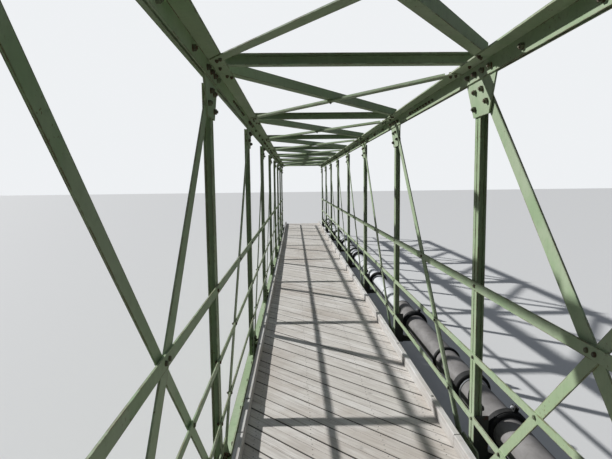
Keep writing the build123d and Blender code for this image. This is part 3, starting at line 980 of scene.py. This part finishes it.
# Each coupling has a wide collar, a narrow one and a sealing ring: half length, height and bevel
WIDE_COLLAR_HALF = 0.0425
WIDE_COLLAR_BEVEL = 0.007
NARROW_COLLAR = (0.020, 0.018, 0.005)
SEALING_RING = (0.008, 0.010, 0.003)


def pipe_ring(half_length, height, bevel):
    """Profile of a ring that stands out from the pipe by height."""
    return ring_profile(half_length, PIPE_RADIUS - SEAT, PIPE_RADIUS + height, bevel)


def pipe_collars():
    """Black collars at both ends of every coupling, the wider one with a pale sealing ring."""
    rubber, seals = Shape(), Shape()
    length = collars_high.y - collars_low.y
    count = round(length / COUPLING_SPACING)
    coupling = length - count * COUPLING_SPACING
    wide = pipe_ring(WIDE_COLLAR_HALF, COLLAR_RADIUS - PIPE_RADIUS, WIDE_COLLAR_BEVEL)
    for number in range(count + 1):
        start = collars_low.y + number * COUPLING_SPACING
        add_ring(rubber, start + WIDE_COLLAR_HALF, wide)
        add_ring(rubber, start + coupling - NARROW_COLLAR[0], pipe_ring(*NARROW_COLLAR))
        add_ring(seals, start - SEALING_RING[0], pipe_ring(*SEALING_RING), BRIGHT_TONE)
    made = rubber.piece("coupling_collars", "band_rubber", smooth=True)
    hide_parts("pipe_couplings")
    seals.piece("coupling_seals", "pipe_coating", smooth=True)


JACKET_SEAM = (0.009, 0.004, 0.002)
JACKET_SEAM_SPACING = 0.85


def jacket_seams():
    """Thin dark seams round the newer jacket, from its first joint on."""
    seams = Shape()
    for number in range(int((PIPE_END - NEW_JACKET_FROM) / JACKET_SEAM_SPACING) + 1):
        add_ring(seams, NEW_JACKET_FROM + number * JACKET_SEAM_SPACING, pipe_ring(*JACKET_SEAM))
    seams.piece("jacket_seams", "band_rubber", smooth=True)


PLATE_BOLT_EDGE = 0.035
ARM_BOLT_EDGES = (0.04, 0.035)


def bracket_bolts():
    """Bolts that hold the pipe's brackets to the verticals."""
    bolts = Bolts("brackets")
    plate_low, plate_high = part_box("pipe_bracket_plates")
    arm_low, arm_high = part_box("pipe_upper_arms")
    post_middle = x_at(1, FACE + VERTICAL_DEPTH / 2)
    arm_middle = (arm_low.z + arm_high.z) / 2
    arm_levels = (arm_low.z + ARM_BOLT_EDGES[0], arm_middle, arm_high.z - ARM_BOLT_EDGES[1])
    for station in STATIONS:
        for z in (plate_low.z + PLATE_BOLT_EDGE, plate_high.z - PLATE_BOLT_EDGE):
            for y in (station - POST_BOLT, station + POST_BOLT):
                bolts.one(GUSSET_HEAD, (plate_high.x, y, z), (1, 0, 0))
        arm_front = station + arm_low.y + HALF_SPAN
        for z in arm_levels:
            bolts.one(SMALL_HEAD, (post_middle, arm_front, z), (0, -1, 0))
    bolts.piece("bracket_bolts", "bracket_steel")


# Camera, light and floor


def camera():
    """The photograph's camera."""
    data = bpy.data.cameras.new("camera")
    data.sensor_width = SENSOR_WIDTH
    data.lens = FOCAL_PIXELS / IMAGE_WIDTH * SENSOR_WIDTH
    made = bpy.data.objects.new("camera", data)
    bpy.context.scene.collection.objects.link(made)
    level = Matrix.Rotation(math.radians(90), 4, "X")
    heading = Matrix.Rotation(-CAMERA_YAW, 4, "Z")
    tilt = Matrix.Rotation(CAMERA_PITCH, 4, "X")
    roll = Matrix.Rotation(-CAMERA_ROLL, 4, "Z")
    place = Vector((BRIDGE_X + CAMERA_OFFSET, CAMERA_STATION, DECK_TOP + EYE_HEIGHT))
    made.matrix_world = Matrix.Translation(place) @ heading @ level @ tilt @ roll
    bpy.context.scene.camera = made


KEY_TRAVEL = (1.28, -0.95, -1)
KEY_STRENGTH = 3.9
KEY_ANGLE = math.radians(1.2)
OVERHEAD_TRAVEL = (0, 0, -1)
OVERHEAD_STRENGTH = 0.38
OVERHEAD_COLOUR = (0.84, 0.96, 1.18)
OVERHEAD_ANGLE = math.radians(150)
SURROUND_STRENGTH = 0.055
BACKDROP = (0.86, 0.88, 0.90, 1)


def lamp(name, travel, strength, angle, colour):
    """A light whose rays all travel one way, softened by its angle."""
    data = bpy.data.lights.new(name, "SUN")
    data.energy = strength
    data.angle = angle
    data.color = colour
    made = bpy.data.objects.new(name, data)
    made.rotation_euler = Vector(travel).to_track_quat("-Z", "Y").to_euler()
    bpy.context.scene.collection.objects.link(made)


def light():
    """A key light from ahead on the left, a broad one overhead and a faint even surround.

    The camera sees a pale backdrop in place of the surround.
    """
    lamp("key", KEY_TRAVEL, KEY_STRENGTH, KEY_ANGLE, WHITE)
    lamp("overhead", OVERHEAD_TRAVEL, OVERHEAD_STRENGTH, OVERHEAD_ANGLE, OVERHEAD_COLOUR)
    world = bpy.data.worlds.new("surround")
    world.use_nodes = True
    graph = Graph(world.node_tree)
    faint = graph.tree.nodes["Background"]
    graph.connect(faint.inputs["Color"], (*WHITE, 1))
    graph.connect(faint.inputs["Strength"], SURROUND_STRENGTH)
    backdrop = graph.node("ShaderNodeBackground", None, {"Color": BACKDROP})
    seen = graph.node("ShaderNodeLightPath", output="Is Camera Ray")
    inputs = {0: seen, 1: Signal(graph, faint.outputs[0]), 2: backdrop}
    shown = graph.node("ShaderNodeMixShader", None, inputs)
    graph.connect(graph.tree.nodes["World Output"].inputs["Surface"], shown)
    bpy.context.scene.world = world


FLOOR_REACH = 120.0


def floor():
    """A plain pale floor on the level of the bearings' undersides.

    It throws back less light than it shows to the camera.
    """
    mesh = bpy.data.meshes.new("floor")
    corners = [(-1, -1), (1, -1), (1, 1), (-1, 1)]
    mesh.from_pydata([(x * FLOOR_REACH, y * FLOOR_REACH, 0) for x, y in corners], [], [(0, 1, 2, 3)])
    pale = Finish("floor", Roughness=0.9)
    speckle = pale.noise(pale.place(), 3, 2)
    seen = pale.node("ShaderNodeLightPath", output="Is Camera Ray")
    shade = pale.mix(speckle * 0.1, FLOOR, FLOOR_SPECKLE)
    pale.feed(Base_Color=pale.mix(seen, FLOOR_BOUNCE, shade))
    mesh.materials.append(pale.material)
    made = bpy.data.objects.new("floor", mesh)
    bpy.context.scene.collection.objects.link(made)


dress_frame()
deck_nails(deck_boards())
kerb_timbers()
kerb_bolts()
gusset_bolts()
rail_bolts()
bracing_bolts()
floor_bolts()
pipe_bands()
pipe_collars()
jacket_seams()
bracket_bolts()
camera()
light()
floor()
bpy.context.scene.view_settings.view_transform = "Standard"
